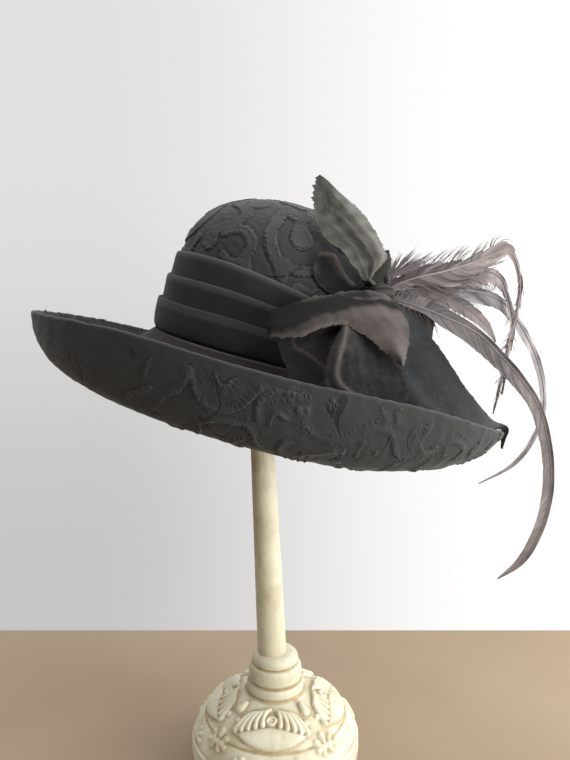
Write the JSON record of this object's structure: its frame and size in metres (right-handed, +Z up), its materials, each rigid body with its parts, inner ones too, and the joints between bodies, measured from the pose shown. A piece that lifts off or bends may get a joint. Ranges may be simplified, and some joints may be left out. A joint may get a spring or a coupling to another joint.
{
  "type": "feathered hat on a stand",
  "caption": "Wide-brimmed dress hat with a pleated band, velvet leaves and long curving feathers, resting on a turned stand with a domed foot.",
  "frame": {"origin": "middle of the foot's flat underside, on the surface that the stand rests on", "axes": "+Z up, +X towards the feathers and the back of the hat, -Y the side that the picture shows"},
  "size_m": [0.4365, 0.3487, 0.5297],
  "materials": {
    "stand_paint": "cream paint rubbed with ochre in the hollows",
    "relief_cloth": "charcoal cloth with raised scrolls",
    "band_crepe": "matt near-black crepe in folded pleats",
    "leaf_velvet": "crushed velvet, dark brown and charcoal",
    "feather": "mauve-brown feather with a soft sheen"
  },
  "bodies": {
    "root": {"stand_foot": "stand_paint", "stand_pole": "stand_paint", "stand_cap": "stand_paint", "crown": "relief_cloth", "brim": "relief_cloth", "hat_band": "band_crepe", "stem_knot": "leaf_velvet", "leaf_upright": "leaf_velvet", "leaf_shaded": "leaf_velvet", "leaf_left": "leaf_velvet", "leaf_brown": "leaf_velvet", "leaf_low": "leaf_velvet", "leaf_dark": "leaf_velvet", "leaf_right": "leaf_velvet", "leaf_back": "leaf_velvet", "feather_top": "feather", "feather_second": "feather", "feather_outer": "feather", "feather_sweep": "feather", "feather_short": "feather", "feather_tuft": "feather"}
  },
  "joints": []
}
